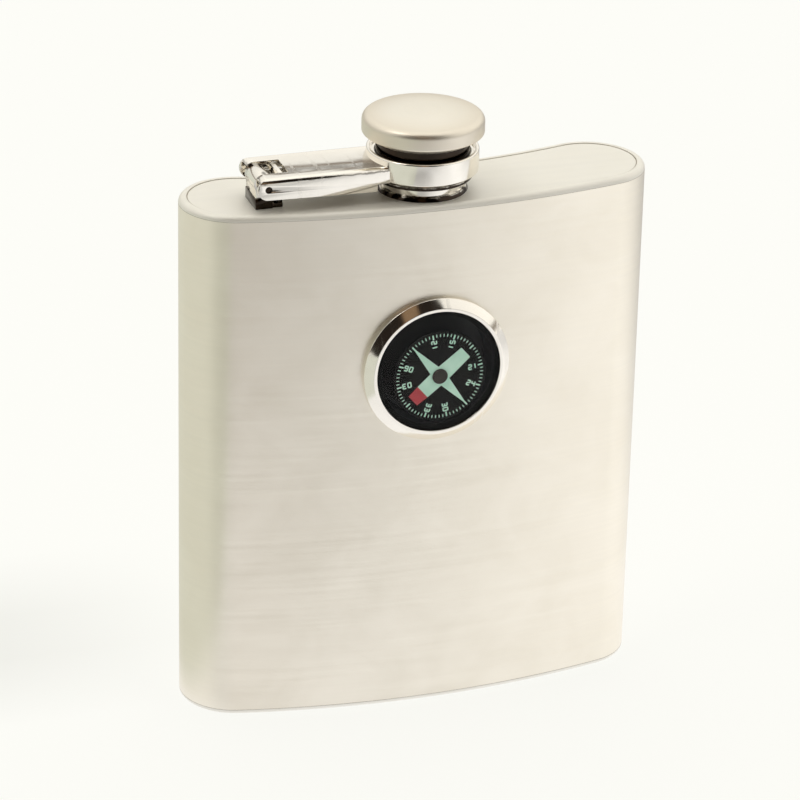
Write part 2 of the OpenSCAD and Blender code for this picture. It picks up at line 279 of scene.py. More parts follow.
SLEEVE_LOW, SLEEVE_HIGH = EDGE_R, BODY_H - EDGE_R
heights = np.linspace(SLEEVE_LOW, SLEEVE_HIGH, 80)
section = [(0, z) for z in heights] + [(WALL, z) for z in heights[::-1]]
grid = np.array([level(outline(inset)[0], height) for inset, height in section])
length = outline(0)[1]
sleeve_uv = np.stack(np.broadcast_arrays(length[None, :-1], grid[..., 2]), axis=-1).reshape(-1, 2)
sleeve = make_mesh(
    "sleeve_sheet", grid.reshape(-1, 3), grid_faces(len(section), AROUND, True, True),
    "flask", ["body_sleeve"], sharp=50, uv=sleeve_uv, turn=length[-1],
)


def cut_round_hole(piece, radius, place, depth):
    """Cuts a round hole with a cylinder that is thrown away afterwards."""
    angle = np.linspace(0, 2 * np.pi, 128, endpoint=False)
    rings = [place(radius * np.cos(angle), radius * np.sin(angle), 0 * angle + h) for h in depth]
    mesh = bpy.data.meshes.new("cutter")
    count = len(angle)
    sides = grid_faces(2, count, False, True)
    caps = [tuple(range(count)), tuple(range(2 * count - 1, count - 1, -1))]
    mesh.from_pydata((np.vstack(rings) * MM).tolist(), [], sides + caps)
    cutter = placed("cutter", mesh)
    cut = piece.modifiers.new("hole", "BOOLEAN")
    cut.object = cutter
    cut.solver = "EXACT"
    graph = bpy.context.evaluated_depsgraph_get()
    holed = bpy.data.meshes.new_from_object(piece.evaluated_get(graph))
    piece.modifiers.clear()
    piece.data = holed
    bpy.data.objects.remove(cutter)
    print(f"{piece.name}: a hole of {radius:.2f} mm radius, {len(holed.polygons)} faces")


HOLE_R = high("compass_cup")[0]
cut_round_hole(sleeve, HOLE_R, about_compass, (5, 20))

# %% [markdown]
# ## The plates
# The top and bottom are pressed plates whose rims turn round the edge of the body and are welded to the
# sleeve. The weld is ground away, so what shows is a bead that catches the light, and on top a fine crease
# where the flat of the plate begins. Beyond that crease the plate's rows glide from the outline to the
# round hole of the neck.

# %% Top and bottom plates
RIM = 0.4
CREASE = BODY_H - low("neck_ring")[2]
NECK_R = high("neck")[0]


def bead(steps=14):
    """A quarter circle from the side of the body to its top: (inset, height above the sleeve)."""
    a = np.linspace(0, np.pi / 2, steps)
    return np.stack([EDGE_R - EDGE_R * np.cos(a), EDGE_R * np.sin(a)], axis=-1)


def inner_circle(ring, radius):
    """The points of a circle in the same directions as the ring's points, seen from the neck's axis."""
    return ring * (radius / np.linalg.norm(ring, axis=1, keepdims=True))


def end_plate(name, node, crease, hole):
    """Rows from the sleeve's edge over the bead to the hole, and back underneath, as a closed band."""
    rows = [(0, -0.02), *bead().tolist()]
    top = EDGE_R
    if crease:
        rows += [(EDGE_R + 0.15, top), (EDGE_R + RIM - 0.06, top - 0.01), (EDGE_R + RIM, top - 0.04)]
        rows += [(EDGE_R + RIM + 0.05, top - 1.8 * crease), (EDGE_R + RIM + 0.14, top - 1.8 * crease)]
        rows += [(EDGE_R + RIM + 0.26, top - crease), (EDGE_R + RIM + 0.6, top - crease)]
    last_inset, last_height = rows[-1]
    # rows along the weld line under the bead and in the crease get painted shade
    dark = [i == 0 and h < 0.3 or EDGE_R + RIM < i < EDGE_R + RIM + 0.2 for i, h in rows]
    bands = [level(outline(i)[0], h) for i, h in rows]
    outer = outline(last_inset + 0.01)[0]
    hub = inner_circle(outer, hole)
    for t in np.linspace(0.04, 1, 24):
        bands.append(level(outer + (hub - outer) * t, last_height))
    under = top - PLATE_T
    inner = outline(WALL + 0.3)[0]
    for t in np.linspace(1, 0, 6):
        bands.append(level(inner + (hub - inner) * t, under))
    for inset, height in ((WALL + 0.05, under - 0.12), (WALL, under - 0.3), (WALL, -0.02)):
        bands.append(level(outline(inset)[0], height))
    grid = np.array(bands)
    if node == "top_plate":
        grid[..., 2] += SLEEVE_HIGH
    else:
        grid[..., 2] = SLEEVE_LOW - grid[..., 2]
    faces = grid_faces(len(bands), AROUND, True, True)
    seam_shade = np.repeat(dark + [False] * (len(bands) - len(dark)), AROUND)
    return make_mesh(name, grid.reshape(-1, 3), faces, "flask", [node], sharp=35, seam_shade=seam_shade)


end_plate("top_cover", "top_plate", CREASE, NECK_R - 0.4)
end_plate("base_cover", "bottom_plate", 0, 0.01)

# %% [markdown]
# ## The cap
# A stamped steel head with a low dome and a round shoulder, over a threaded sleeve that hangs through the
# collar. The lip ring at the foot of the sleeve keeps the cap from leaving the collar.

# %% Cap head
CAP_R = high("cap_head")[0]
CAP_TOP = high("cap_head")[2]
CAP_LOW = low("cap_head")[2]
SLEEVE_OUT = high("cap_sleeve")[0]
CAP_SKIN = 0.7
SHOULDER = 1.45
CROWN = 0.62
TAPER = 1.3
FOOT_R = CAP_R - 2.3


def cap_profile(inset):
    """From the axis out: a dome that falls as the cube of the radius, then the shoulder's arc."""
    r = np.linspace(0, CAP_R - SHOULDER, 18)
    dome = np.column_stack([r, CAP_TOP - inset - CROWN * (r / (CAP_R - SHOULDER)) ** 3])
    a = np.linspace(np.pi / 2, 0, 14)[1:]
    arc_r = SHOULDER - inset
    centre_r, centre_h = CAP_R - SHOULDER, CAP_TOP - CROWN - SHOULDER
    arc = np.column_stack([centre_r + arc_r * np.cos(a), centre_h + arc_r * np.sin(a)])
    return np.vstack([dome, arc])


outside = cap_profile(0)
lower = rounded(
    [(CAP_R, CAP_TOP - CROWN - SHOULDER - 0.2), (CAP_R, CAP_LOW + TAPER), (FOOT_R, CAP_LOW),
     (SLEEVE_OUT + 0.02, CAP_LOW), (SLEEVE_OUT + 0.02, CAP_LOW + CAP_SKIN + 0.1),
     (CAP_R - CAP_SKIN, CAP_LOW + TAPER), (CAP_R - CAP_SKIN, CAP_TOP - CROWN - SHOULDER - 0.2)],
    [0, 0.5, 0.2, 0.1, 0.05, 0.3, 0],
)
inside = cap_profile(CAP_SKIN)[::-1]
lathe("cap_dome", np.vstack([outside, lower, inside]), about_neck, "cap", ["cap_head"])

# %% Cap sleeve, lip ring and liner
SLEEVE_IN = SLEEVE_OUT - 0.95
SLEEVE_FOOT = low("cap_sleeve")[2]
SLEEVE_TOP = high("cap_sleeve")[2]
LINER_TOP = high("cap_liner")[2]
lathe(
    "threaded_sleeve",
    rounded(
        [(0, LINER_TOP), (SLEEVE_IN, LINER_TOP), (SLEEVE_IN, SLEEVE_FOOT), (SLEEVE_OUT, SLEEVE_FOOT),
         (SLEEVE_OUT, SLEEVE_TOP), (0, SLEEVE_TOP)],
        [0, 0.2, 0.15, 0.1, 0.1, 0],
    ),
    about_neck, "cap", ["cap_sleeve"],
)
LIP_LOW, LIP_HIGH, LIP_R = low("cap_lip_ring")[2], high("cap_lip_ring")[2], high("cap_lip_ring")[0]
lathe(
    "lip_ring",
    rounded(
        [(SLEEVE_OUT, LIP_LOW), (LIP_R, LIP_LOW), (LIP_R, LIP_HIGH), (SLEEVE_OUT, LIP_HIGH)],
        [0.05, 0.3, 0.2, 0.05], closed=True,
    ),
    about_neck, "cap", ["cap_lip_ring"],
)
LINER_LOW, LINER_R = low("cap_liner")[2], high("cap_liner")[0]
DENT = LINER_LOW + 0.12
# the mouth has pressed a shallow ring into the soft liner
lathe(
    "soft_liner",
    rounded(
        [(0, LINER_LOW), (5.9, LINER_LOW), (6.1, DENT), (7.5, DENT), (7.7, LINER_LOW),
         (LINER_R, LINER_LOW), (LINER_R, LINER_TOP), (0, LINER_TOP)],
        [0, 0.1, 0.1, 0.1, 0.1, 0.2, 0.2, 0],
    ),
    about_neck, "cap_riser", ["cap_liner"],
)

# %% [markdown]
# ## Threads
# A thread is one ridge wound on a helix. Its section is a trapezium with soft corners that grows out of
# the wall over the first quarter turn and sinks back over the last. The ridge on the neck points out and
# the one in the cap points in, half a pitch away, so that they run side by side.

# %% Thread ridges
PITCH = 1.8


def thread(name, foot_r, crest_r, turns, start_z, body, node):
    """Section points p(k) = (radius, height), carried on a helix: z = start + pitch * angle / 360."""
    steps = int(turns * 96)
    turned = np.linspace(0, turns, steps)
    grown = np.clip(np.minimum(turned, turns - turned) / 0.25, 0.02, 1)
    grown = grown * grown * (3 - 2 * grown)
    k = np.array([(0, -0.4), (0.45, -0.31), (0.85, -0.24), (1, -0.14),
                  (1, 0.14), (0.85, 0.24), (0.45, 0.31), (0, 0.4)])
    radius = foot_r + (crest_r - foot_r) * grown[:, None] * k[:, 0]
    height = start_z + PITCH * turned[:, None] + k[:, 1]
    angle = 2 * np.pi * turned[:, None]
    points = np.stack([radius * np.cos(angle), radius * np.sin(angle), height], axis=-1)
    faces = grid_faces(steps, len(k), False, True)
    faces += [tuple(range(len(k)))[::-1], tuple((steps - 1) * len(k) + i for i in range(len(k)))]
    return make_mesh(name, points.reshape(-1, 3), faces, body, [node], sharp=60)


NECK_ROOT = 7.4
THREAD_LOW = low("neck_thread")[2] + 0.4
thread("neck_ridge", NECK_ROOT - 0.06, NECK_R, 1.9, THREAD_LOW, "flask", "neck_thread")
CAP_THREAD_LOW = low("cap_thread")[2] + 0.4
thread("cap_ridge", SLEEVE_IN + 0.06, SLEEVE_IN - 0.6, 1.6, CAP_THREAD_LOW, "cap", "cap_thread")

# %% [markdown]
# ## Neck, neck ring and collar
# Three turned parts. The neck has a soft lip at the mouth and a shoulder under the thread. The ring hides
# the joint where the neck passes through the plate. The collar is a thin tube with a soft rim. A flange
# inside it surrounds the cap's sleeve, and stops the lip ring when the cap is lifted.

# %% Neck, ring and collar
NECK_TOP, NECK_LOW = high("neck")[2], low("neck")[2]
MOUTH_R = 6.2
PLATE_TOP = BODY_H - CREASE
lathe(
    "neck_tube",
    rounded(
        [(MOUTH_R, NECK_LOW), (NECK_ROOT, NECK_LOW), (NECK_ROOT, PLATE_TOP), (NECK_R, PLATE_TOP),
         (NECK_R, BODY_H + 2.2), (NECK_ROOT, BODY_H + 2.8), (NECK_ROOT, NECK_TOP), (MOUTH_R, NECK_TOP)],
        [0.1, 0.1, 0, 0, 0.3, 0.3, 0.35, 0.3], closed=True,
    ),
    about_neck, "flask", ["neck"],
)
RING_R = high("neck_ring")[0]
RING_TOP = high("neck_ring")[2]
lathe(
    "neck_fillet",
    rounded(
        [(NECK_R, PLATE_TOP), (RING_R, PLATE_TOP), (RING_R - 0.15, PLATE_TOP + 0.25),
         (NECK_R + 0.5, RING_TOP), (NECK_R, RING_TOP)],
        [0, 0.05, 0.2, 0.25, 0], closed=True,
    ),
    about_neck, "flask", ["neck_ring"],
)
COLLAR_R, COLLAR_LOW, COLLAR_TOP = high("collar")[0], low("collar")[2], high("collar")[2]
COLLAR_IN = COLLAR_R - 0.7
COLLAR_HOLE = SLEEVE_OUT + 0.2
KEEPER_LOW, KEEPER_TOP = BODY_H + 7, BODY_H + 7.6
lathe(
    "collar_ring",
    rounded(
        [(COLLAR_IN, COLLAR_LOW), (COLLAR_R, COLLAR_LOW), (COLLAR_R, COLLAR_TOP),
         (COLLAR_IN, COLLAR_TOP), (COLLAR_IN, KEEPER_TOP), (COLLAR_HOLE, KEEPER_TOP),
         (COLLAR_HOLE, KEEPER_LOW), (COLLAR_IN, KEEPER_LOW)],
        [0.15, 0.25, 0.35, 0.2, 0.15, 0.12, 0.12, 0.15], closed=True, steps=8,
    ),
    about_neck, "arm", ["collar"],
)

# %% [markdown]
# ## Compass
# A 25 mm liquid compass: a black case with a domed lens, a card that turns on a needle, and a polished
# bezel round it. The bezel's foot follows the curve of the front, so its lowest rows are moved back along
# the compass axis by the amount that the front falls away.

# %% Bezel
LENS_R = high("compass_lens")[0]
BEZEL_R = high("compass_bezel")[0]
BEZEL_FRONT = -low("compass_bezel")[1]
BEZEL_WALL = 1.0
FOOT_H = BODY_T / 2
bezel_profile = rounded(
    [(LENS_R + 0.1, 11), (HOLE_R, 11), (BEZEL_R, FOOT_H), (BEZEL_R, FOOT_H + BEZEL_WALL),
     (LENS_R + 0.75, BEZEL_FRONT), (LENS_R + 0.1, BEZEL_FRONT)],
    [0, 0, 0.05, 0.25, 0.3, 0.12], closed=True, steps=8,
)


def on_front(x, y, h):
    """As about_compass, but rows near the foot follow the front: it falls back by x^2 / (2 R)."""
    fall = FRONT_R - np.sqrt(FRONT_R**2 - x**2)
    share = np.clip((FOOT_H + BEZEL_WALL - h) / BEZEL_WALL, 0, 1)
    return about_compass(x, y, h - fall * share)


lathe("bezel_ring", bezel_profile, on_front, "flask", ["compass_bezel"])

# %% Case, seal, lens and cup
CASE_BACK, CASE_FRONT = -high("compass_capsule")[1], -low("compass_capsule")[1]
CASE_WALL = 1.1
lathe(
    "compass_case",
    rounded(
        [(0, CASE_BACK), (LENS_R, CASE_BACK), (LENS_R, CASE_FRONT), (LENS_R - CASE_WALL, CASE_FRONT),
         (LENS_R - CASE_WALL, CASE_BACK + 1), (0, CASE_BACK + 1)],
        [0, 0.3, 0.1, 0.15, 0.4, 0],
    ),
    about_compass, "flask", ["compass_capsule"],
)
SEAL_FRONT = -low("capsule_seal")[1]
lathe(
    "lens_seal",
    rounded(
        [(LENS_R - CASE_WALL, CASE_FRONT), (LENS_R, CASE_FRONT), (LENS_R, SEAL_FRONT),
         (LENS_R - CASE_WALL, SEAL_FRONT)],
        [0.03] * 4, closed=True,
    ),
    about_compass, "flask", ["capsule_seal"],
)
LENS_FRONT = -low("compass_lens")[1]
LENS_EDGE = 12.8
r = np.linspace(LENS_R - 0.25, 0, 40)
dome = np.column_stack([r, LENS_FRONT - (LENS_FRONT - LENS_EDGE) * (r / LENS_R) ** 2])
lens_foot = [(0, SEAL_FRONT), (LENS_R - 0.02, SEAL_FRONT), (LENS_R - 0.02, LENS_EDGE - 0.15)]
lens_profile = np.vstack([lens_foot, dome])
lathe("lens_dome", lens_profile, about_compass, "flask", ["compass_lens"], sharp=60)

# %% [markdown]
# ## Card print
# Ticks every five degrees and numerals at each thirty, printed on the black card. They are thin raised
# strokes a few hundredths of a millimetre high, made flat first and then laid on the card.

# %% Ticks and numerals
CARD_X, _, CARD_Z = middle("card_disc")
CARD_FRONT = -low("card_disc")[1]
CARD_TURN = 40.6


def on_card(points, lift):
    """Points drawn about the card's centre, laid on its front at this height above it."""
    a = math.radians(CARD_TURN)
    x = points[:, 0] * math.cos(a) - points[:, 1] * math.sin(a)
    z = points[:, 0] * math.sin(a) + points[:, 1] * math.cos(a)
    return np.stack([x + CARD_X, 0 * x - CARD_FRONT - lift, z + CARD_Z], axis=-1)


def stroke(start, end, width):
    """The four corners of a straight stroke."""
    start, end = np.array(start, float), np.array(end, float)
    way = (end - start) / np.linalg.norm(end - start)
    side = np.array([-way[1], way[0]]) * width / 2
    return np.array([start - side, end - side, end + side, start + side])


# each digit as strokes between points of a 2 x 3 grid, (column, row) with row 0 at the foot
DIGITS = {
    "0": [((0, 0), (1, 0)), ((1, 0), (1, 2)), ((1, 2), (0, 2)), ((0, 2), (0, 0))],
    "1": [((0.5, 0), (0.5, 2))],
    "2": [((0, 2), (1, 2)), ((1, 2), (1, 1)), ((1, 1), (0, 1)), ((0, 1), (0, 0)), ((0, 0), (1, 0))],
    "3": [((0, 2), (1, 2)), ((1, 2), (1, 0)), ((1, 0), (0, 0)), ((0.2, 1), (1, 1))],
    "4": [((0, 2), (0, 1)), ((0, 1), (1, 1)), ((1, 2), (1, 0))],
    "5": [((1, 2), (0, 2)), ((0, 2), (0, 1)), ((0, 1), (1, 1)), ((1, 1), (1, 0)), ((1, 0), (0, 0))],
    "6": [((1, 2), (0, 2)), ((0, 2), (0, 0)), ((0, 0), (1, 0)), ((1, 0), (1, 1)), ((1, 1), (0, 1))],
}
DIGIT_W, DIGIT_H, DIGIT_GAP, DIGIT_LINE = 0.62, 0.98, 0.42, 0.26
NUMERAL_R = 6.85
PRINT_H = 0.04


def numeral(text, heading):
    """Strokes of a number that reads outwards along its own radius, at this heading."""
    a = math.radians(180 - heading)
    out_way, side_way = np.array([math.cos(a), math.sin(a)]), np.array([-math.sin(a), math.cos(a)])
    width = len(text) * DIGIT_W + (len(text) - 1) * DIGIT_GAP
    strokes = []
    for i, digit in enumerate(text):
        for pair in DIGITS[digit]:
            ends = []
            for column, row in pair:
                u = NUMERAL_R - width / 2 + i * (DIGIT_W + DIGIT_GAP) + column * DIGIT_W
                v = (row / 2 - 0.5) * DIGIT_H
                ends.append(out_way * u + side_way * v)
            strokes.append(stroke(*ends, DIGIT_LINE))
    return strokes


def raised(name, shapes):
    """Each flat convex shape becomes a thin closed slab on the card."""
    points, faces = [], []
    for shape in shapes:
        base, n = sum(len(p) for p in points), len(shape)
        points += [on_card(shape, 0), on_card(shape, PRINT_H)]
        faces.append(tuple(base + n + i for i in range(n)))
        faces.append(tuple(base + n - 1 - i for i in range(n)))
        faces += [(base + i, base + (i + 1) % n, base + n + (i + 1) % n, base + n + i) for i in range(n)]
    return make_mesh(name, np.vstack(points), faces, "card", sharp=20)


ticks = []
for heading in range(0, 360, 5):
    a = math.radians(heading)
    way = np.array([math.cos(a), math.sin(a)])
    major = heading % 30 == 0
    inner = 7.95 if major else 8.35
    ticks.append(stroke(way * inner, way * 8.95, 0.3 if major else 0.17))
labels = {30: "03", 60: "06", 120: "12", 150: "15", 210: "21", 240: "24", 300: "30", 330: "33"}
numerals = [s for heading, text in labels.items() for s in numeral(text, heading)]
raised("card_ticks", ticks)
raised("card_numerals", numerals)

# %% [markdown]
# ## Arm, bracket and pin
# The arm is folded from sheet and the bracket is milled from bar, so both are flat faces with small round
# edges. Their shapes in the CAD model are right, so a copy of each is merged, freed of the lines inside
# its flat faces, and given a fine bevel. The pin is a turned piece with domed ends.

# %% Bevelled copies
BEVEL = 0.12


def bevelled(name, node, body):
    """A copy of a CAD node with its flat faces made whole and its edges bevelled."""
    mesh = bpy.data.meshes.new(name)
    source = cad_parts[node].data
    points = np.empty(len(source.vertices) * 3, dtype=np.float32)
    source.vertices.foreach_get("co", points)
    whole, index = np.unique(np.round(points.reshape(-1, 3), 7), axis=0, return_inverse=True)
    index = index.ravel()
    faces = [tuple(index[v] for v in f.vertices) for f in source.polygons]
    mesh.from_pydata(whole.tolist(), [], [f for f in faces if len(set(f)) == 3])
    piece = placed(name, mesh)
    merge = piece.modifiers.new("weld", "WELD")
    merge.merge_threshold = 0.002 * MM
    flat = piece.modifiers.new("flat", "DECIMATE")
    flat.decimate_type = "DISSOLVE"
    flat.angle_limit = math.radians(0.5)
    edge = piece.modifiers.new("edge", "BEVEL")
    edge.width = BEVEL * MM
    edge.segments = 3
    edge.limit_method = "ANGLE"
    edge.angle_limit = math.radians(25)
    edge.harden_normals = True
    graph = bpy.context.evaluated_depsgraph_get()
    finished = bpy.data.meshes.new_from_object(piece.evaluated_get(graph))
    piece.modifiers.clear()
    piece.data = finished
    finished.polygons.foreach_set("use_smooth", np.ones(len(finished.polygons), dtype=bool))
    finished.set_sharp_from_angle(angle=math.radians(32))
    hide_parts(node)
    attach(piece, body)
    print(f"{name}: {len(whole)} points became {len(finished.vertices)}")
    return piece


bevelled("folded_arm", "arm", "arm")
bevelled("hinge_block", "hinge_bracket", "flask")
PIN_X, _, PIN_Z = middle("hinge_pin")
PIN_R = high("hinge_pin")[0] - PIN_X
PIN_HALF = high("hinge_pin")[1]


def about_pin(x, y, h):
    """The pin lies along Y."""
    return np.stack([x + PIN_X, h, y + PIN_Z], axis=-1)


pin_profile = rounded(
    [(0, -PIN_HALF), (PIN_R, -PIN_HALF + 0.1), (PIN_R, PIN_HALF - 0.1), (0, PIN_HALF)], [0, 0.15, 0.15, 0],
)
lathe("domed_pin", pin_profile, about_pin, "arm", ["hinge_pin"], turns=48)

# %% [markdown]
# ## Finishes
# Each finish is a node tree. The patterns that several of them share are made once, as node groups that
# put out a height or a mask, and each material decides what these do to its colour, gloss and bump.

# %% Node helpers
def feed(tree, socket, value):
    """Links another node's output to an input, or sets a plain value on it."""
    if isinstance(value, bpy.types.NodeSocket):
        tree.links.new(value, socket)
    else:
        socket.default_value = value


def add(tree, kind, inputs=(), **settings):
    """Adds a node, sets its options, and fills its inputs."""
    node = tree.nodes.new(kind)
    for key, value in settings.items():
        setattr(node, key, value)
    for key, value in dict(inputs).items():
        feed(tree, node.inputs[key], value)
    return node


def calc(tree, operation, *values):
    """The result of one sum on numbers or sockets."""
    return add(tree, "ShaderNodeMath", dict(enumerate(values)), operation=operation).outputs[0]


def along(tree, place, way):
    """How far a place lies along a direction: the dot product of the two."""
    product = add(tree, "ShaderNodeVectorMath", {0: place, 1: way}, operation="DOT_PRODUCT")
    return product.outputs["Value"]


def spread(tree, value, low_in, high_in, low_out, high_out):
    """Maps a value from one range to another, and stops at the ends."""
    mapped = add(tree, "ShaderNodeMapRange", {
        "Value": value, "From Min": low_in, "From Max": high_in, "To Min": low_out, "To Max": high_out})
    return mapped.outputs["Result"]


def mixed(tree, share, a, b):
    """One colour turning into another with the share."""
    return add(tree, "ShaderNodeMix", data_type="RGBA", inputs={0: share, 6: a, 7: b}).outputs[2]


def group(name, inputs, outputs):
    """A node group with float or vector inputs and outputs, and its two end nodes."""
    tree = bpy.data.node_groups.new(name, "ShaderNodeTree")
    for title, kind, value in inputs:
        socket = tree.interface.new_socket(title, in_out="INPUT", socket_type=kind)
        if value is not None:
            socket.default_value = value
    for title in outputs:
        tree.interface.new_socket(title, in_out="OUTPUT", socket_type="NodeSocketFloat")
    return tree, tree.nodes.new("NodeGroupInput").outputs, tree.nodes.new("NodeGroupOutput").inputs


# %% [markdown]
# ### Rubbed lines
# Brushing leaves fine parallel scratches, and no scratch runs far. Noise that is stretched along one way
# gives them, in a coarse and a fine layer. The same group serves the sheet, the plates and the cap, each
# with its own stretch.

# %% Rubbed lines group
VECTOR, FLOAT = "NodeSocketVector", "NodeSocketFloat"
rubbed, given, result = group(
    "rubbed_lines",
    [("Vector", VECTOR, None), ("Along", FLOAT, 40.0), ("Across", FLOAT, 3000.0)],
    ["Height", "Coarse"],
)
fine_scale = add(rubbed, "ShaderNodeCombineXYZ", {0: given["Along"], 1: given["Across"], 2: given["Across"]})
fine_place = add(
    rubbed, "ShaderNodeVectorMath", {0: given["Vector"], 1: fine_scale.outputs[0]}, operation="MULTIPLY")
fine = add(rubbed, "ShaderNodeTexNoise", {
    "Vector": fine_place.outputs[0], "Scale": 1.0, "Detail": 3.0, "Roughness": 0.6})
broad_place = add(
    rubbed, "ShaderNodeVectorMath", {0: fine_place.outputs[0], 1: (0.35, 0.17, 0.17)}, operation="MULTIPLY")
broad = add(rubbed, "ShaderNodeTexNoise", {
    "Vector": broad_place.outputs[0], "Scale": 1.0, "Detail": 2.0, "Roughness": 0.5})
sum_both = calc(rubbed, "ADD", fine.outputs["Fac"], broad.outputs["Fac"])
rubbed.links.new(calc(rubbed, "MULTIPLY", sum_both, 0.5), result["Height"])
rubbed.links.new(broad.outputs["Fac"], result["Coarse"])

# %% [markdown]
# ### Handling
# Metal that is handled is never evenly clean. Soft patches of skin grease change the gloss a little, and
# stray hairline scratches cross them in every direction.

# %% Handling group
handled, given, result = group(
    "handling", [("Vector", VECTOR, None), ("Size", FLOAT, 90.0)], ["Smudge", "Hairline"],
)
cloud = add(handled, "ShaderNodeTexNoise", {
    "Vector": given["Vector"], "Scale": given["Size"], "Detail": 5.0, "Roughness": 0.62, "Distortion": 0.6})
handled.links.new(spread(handled, cloud.outputs["Fac"], 0.35, 0.7, 0.0, 1.0), result["Smudge"])
lines = []
for tilt, stretch in (((0.3, 0.5, 0.9), (700.0, 14.0, 60.0)), ((-0.2, 0.7, -0.6), (900.0, 20.0, 50.0))):
    place = add(handled, "ShaderNodeMapping", {
        "Vector": given["Vector"], "Rotation": tilt, "Scale": stretch})
    noise = add(handled, "ShaderNodeTexNoise", {"Vector": place.outputs[0], "Scale": 1.0, "Detail": 1.0})
    lines.append(spread(handled, noise.outputs["Fac"], 0.66, 0.72, 0.0, 1.0))
handled.links.new(calc(handled, "MAXIMUM", *lines), result["Hairline"])

# %% [markdown]
# ### Grain
# Moulded plastic, rubber, paint and foam share a fine grain of their own scale.

# %% Grain group
grained, given, result = group(
    "grain", [("Vector", VECTOR, None), ("Size", FLOAT, 2500.0)], ["Height", "Patch"],
)
pits = add(grained, "ShaderNodeTexNoise", {"Vector": given["Vector"], "Scale": given["Size"], "Detail": 4.0})
slow = calc(grained, "MULTIPLY", given["Size"], 0.08)
patch = add(grained, "ShaderNodeTexNoise", {"Vector": given["Vector"], "Scale": slow, "Detail": 3.0})
grained.links.new(pits.outputs["Fac"], result["Height"])
grained.links.new(patch.outputs["Fac"], result["Patch"])


# %% Material helpers
def use_group(tree, shared, **inputs):
    """Places a shared group in a material and fills its inputs."""
    node = add(tree, "ShaderNodeGroup")
    node.node_tree = shared
    for key, value in inputs.items():
        feed(tree, node.inputs[key], value)
    return node.outputs


MATERIALS = {}


def new_material(name, **plain):
    """A material with one Principled shader, plain values set on its sockets, and its object coordinates."""
    MATERIALS[name] = bpy.data.materials.new(name)
    MATERIALS[name].use_nodes = True
    tree = MATERIALS[name].node_tree
    shader = tree.nodes["Principled BSDF"]
    for key, value in plain.items():
        shader.inputs[key.replace("_", " ")].default_value = value
    place = add(tree, "ShaderNodeTexCoord").outputs["Object"]
    return tree, shader, place


def bumped(tree, shader, height, depth):
    """Turns a height into a bump of this depth in millimetres."""
    bump = add(tree, "ShaderNodeBump", {"Height": height, "Distance": depth * MM, "Strength": 1.0})
    tree.links.new(bump.outputs["Normal"], shader.inputs["Normal"])


# %% [markdown]
# ### Brushed sheet
# The sleeve is brushed along its length before it is folded, so the lines follow the outline, and the
# pattern reads the sleeve's own UV map. Scratches scatter light across themselves, so the gloss is
# stretched up and down: that is what anisotropy is for.

# %% Brushed sheet
def brushed_steel(name, place, base, stretch, rough, tangent=None, dim=None, **plain):
    """Steel with rubbed lines: they vary the gloss and the bump, and slow patches vary the tone.

    The lines' noise runs slowly along them and fast across them, as the two numbers of stretch say.
    Where the mask that dim gives is 1, the steel is painted darker: painted shade in the plates' crease and
    weld line, and on the side of the cap.
    """
    tree, shader, own = new_material(name, **plain)
    if tangent:
        tree.links.new(tangent(tree), shader.inputs["Tangent"])
    lines = use_group(tree, rubbed, Vector=place(tree, own), Along=stretch[0], Across=stretch[1])
    hands = use_group(tree, handled, Vector=own, Size=70.0)
    tone = mixed(tree, spread(tree, lines["Coarse"], 0.3, 0.7, 0.0, 1.0),
                 (*[c * 0.97 for c in base], 1), (*base, 1))
    grease_and_shade = mixed(tree, spread(tree, hands["Smudge"], 0.0, 1.0, 0.0, 0.35),
                    tone, (*[c * d for c, d in zip(base, (0.93, 0.92, 0.89))], 1))
    if dim:
        # painted shade, where the mask is 1
        mask, shade = dim(tree, own)
        grease_and_shade = mixed(tree, mask, grease_and_shade, shade)
    tree.links.new(grease_and_shade, shader.inputs["Base Color"])
    gloss = spread(tree, lines["Height"], 0.3, 0.7, rough - 0.06, rough + 0.06)
    tree.links.new(calc(tree, "MULTIPLY_ADD", hands["Smudge"], 0.05, gloss), shader.inputs["Roughness"])
    bumped(tree, shader, lines["Height"], 0.003)


def along_sheet(tree, own):
    """The sleeve's own UV map: length round the outline, then height."""
    return add(tree, "ShaderNodeUVMap", uv_map="along").outputs[0]


def sheet_tangent(tree):
    """The direction of growing length round the outline."""
    return add(tree, "ShaderNodeTangent", direction_type="UV_MAP", uv_map="along").outputs[0]


def flat_lines(tree, own):
    """Lines along X on a flat plate."""
    return own


ARC_R = 10


def turned_lines(tree, own):
    """Lines round the neck's axis: the radius and the height run across them, and the angle along."""
    apart = add(tree, "ShaderNodeSeparateXYZ", {0: own})
    flat = add(tree, "ShaderNodeCombineXYZ", {0: apart.outputs[0], 1: apart.outputs[1]})
    radius = add(tree, "ShaderNodeVectorMath", {0: flat.outputs[0]}, operation="LENGTH")
    angle = calc(tree, "ARCTAN2", apart.outputs[1], apart.outputs[0])
    arc = calc(tree, "MULTIPLY", angle, ARC_R * MM)
    across = {1: radius.outputs["Value"], 2: apart.outputs[2]}
    return add(tree, "ShaderNodeCombineXYZ", {0: arc, **across}).outputs[0]


def in_seam_shade(tree, own):
    """The mask that the plates carry, and its brown: painted shade in the crease and along the weld line
    under the bead.
    """
    return add(tree, "ShaderNodeAttribute", attribute_name="seam_shade").outputs["Fac"], (0.40, 0.35, 0.28, 1)


def shaded_side(tree, own):
    """The side and shoulder of the cap's head, painted darker and warmer than its crown: painted shade."""
    height = add(tree, "ShaderNodeSeparateXYZ", {0: own}).outputs[2]
    side = spread(tree, height, (CAP_TOP - 0.6) * MM, (CAP_TOP - 0.05) * MM, 1.0, 0.0)
    return side, (0.76, 0.70, 0.595, 1)


